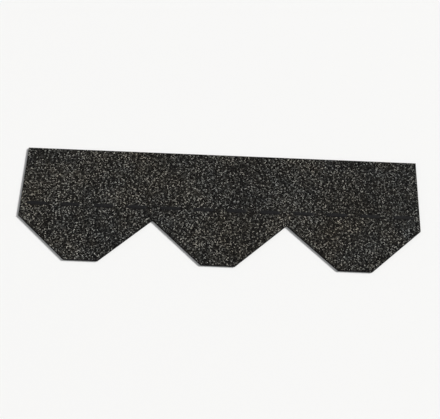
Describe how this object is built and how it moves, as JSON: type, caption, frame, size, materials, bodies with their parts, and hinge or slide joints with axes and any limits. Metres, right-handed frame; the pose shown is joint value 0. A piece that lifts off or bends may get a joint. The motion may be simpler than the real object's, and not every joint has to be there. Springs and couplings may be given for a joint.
{
  "type": "asphalt strip shingle",
  "caption": "Flat asphalt roofing strip with hexagonal tabs and V cut-outs along one edge, granules on top, a row of seal dashes and a release film on the back.",
  "frame": {"origin": "middle of the strip's length and height, on its back", "axes": "+X along the strip, +Y from the tabs to the straight top edge, +Z out of the granule face"},
  "size_m": [1, 0.337, 0.0053],
  "materials": {
    "granule_face": "matte",
    "seal_bitumen": "satin",
    "release_film": "satin"
  },
  "bodies": {
    "root": {"shingle": "granule_face", "seal_dashes": "seal_bitumen", "release_film": "release_film"}
  },
  "joints": []
}
